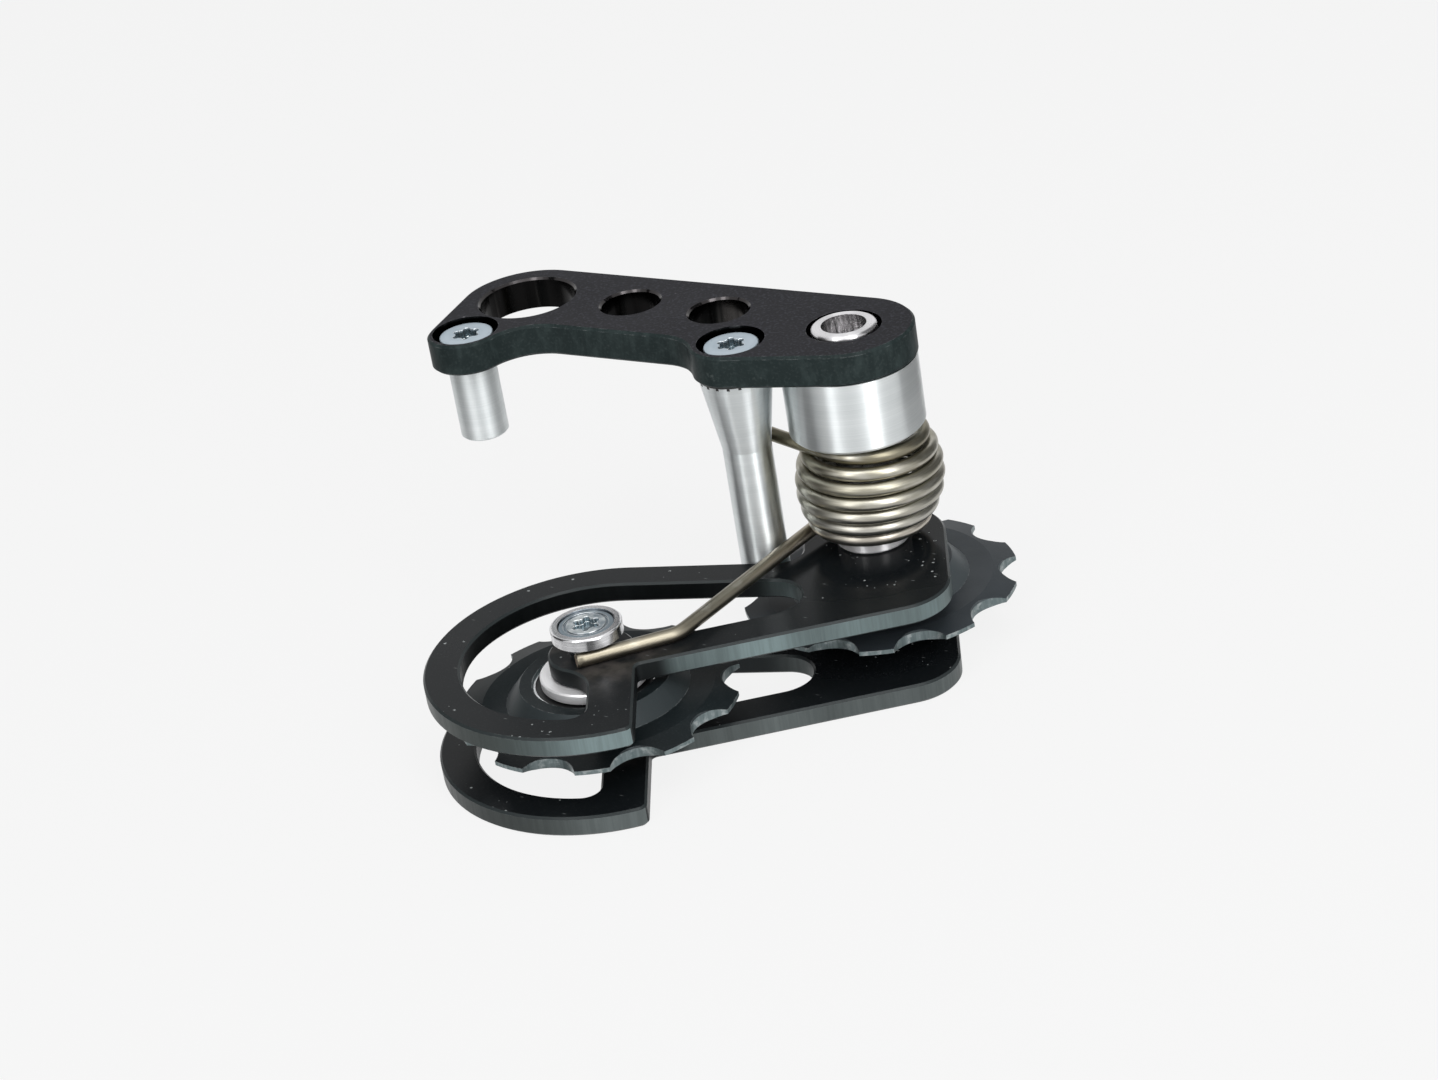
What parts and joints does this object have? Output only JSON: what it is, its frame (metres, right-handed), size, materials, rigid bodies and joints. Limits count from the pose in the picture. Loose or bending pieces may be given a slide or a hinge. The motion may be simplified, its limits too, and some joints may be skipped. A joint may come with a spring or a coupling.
{
  "type": "bicycle chain tensioner",
  "caption": "Bicycle chain tensioner: a drilled bracket with a sprung cage that swings about a pivot and carries toothed pulleys on ball bearings.",
  "frame": {"origin": "centre of the axle hole on the bracket's inner face", "axes": "+X from the axle hole to the pivot, +Z along the pivot, away from the cage"},
  "size_m": [0.079, 0.0783, 0.0465],
  "materials": {
    "black_plate": "black anodised, satin",
    "grey_wheel": "dark grey anodised, satin",
    "turned_aluminium": "turned",
    "zinc_screw": "zinc plated",
    "polished_steel": "polished",
    "black_steel": "blackened",
    "spring_steel": "drawn wire",
    "seal_rubber": "matte"
  },
  "bodies": {
    "bracket": {"mount_plate": "black_plate", "short_stud": "turned_aluminium", "short_stud_screw": "zinc_screw", "long_pillar": "turned_aluminium", "serrated_washer": "black_steel", "long_pillar_screw": "zinc_screw", "spring_drum": "turned_aluminium", "pivot_bolt": "polished_steel", "pivot_end_screw": "zinc_screw", "torsion_spring": "spring_steel"},
    "cage": {"upper_cage_plate": "black_plate", "lower_cage_plate": "black_plate", "spring_post": "turned_aluminium", "idler_bolt": "zinc_screw", "idler_sleeve": "polished_steel", "pivot_sleeve": "polished_steel", "idler_upper_washer": "turned_aluminium", "idler_lower_washer": "turned_aluminium", "guide_upper_washer": "turned_aluminium", "guide_lower_washer": "turned_aluminium", "idler_bearing_inner_ring": "polished_steel", "guide_bearing_inner_ring": "polished_steel"},
    "idler_pulley": {"idler_wheel": "grey_wheel", "idler_bearing_outer_ring": "polished_steel", "idler_bearing_balls": "polished_steel", "idler_upper_seal": "seal_rubber", "idler_lower_seal": "seal_rubber"},
    "guide_pulley": {"guide_wheel": "grey_wheel", "guide_bearing_outer_ring": "polished_steel", "guide_bearing_balls": "polished_steel", "guide_upper_seal": "seal_rubber", "guide_lower_seal": "seal_rubber"}
  },
  "joints": [
    {"name": "cage_swing", "type": "hinge", "parent": "bracket", "child": "cage", "pos_m": [0.0502, 0, -0.0344], "axis": [0, 0, 1], "range_deg": [0, 90], "stiffness_Nm_per_rad": 0.4, "springref_deg": -45.84, "deforming": ["torsion_spring"]},
    {"name": "idler_spin", "type": "hinge", "parent": "cage", "child": "idler_pulley", "pos_m": [0.02726, -0.03714, -0.0344], "axis": [0, 0, 1], "continuous": true},
    {"name": "guide_spin", "type": "hinge", "parent": "cage", "child": "guide_pulley", "pos_m": [0.0502, 0, -0.0344], "axis": [0, 0, 1], "continuous": true}
  ]
}
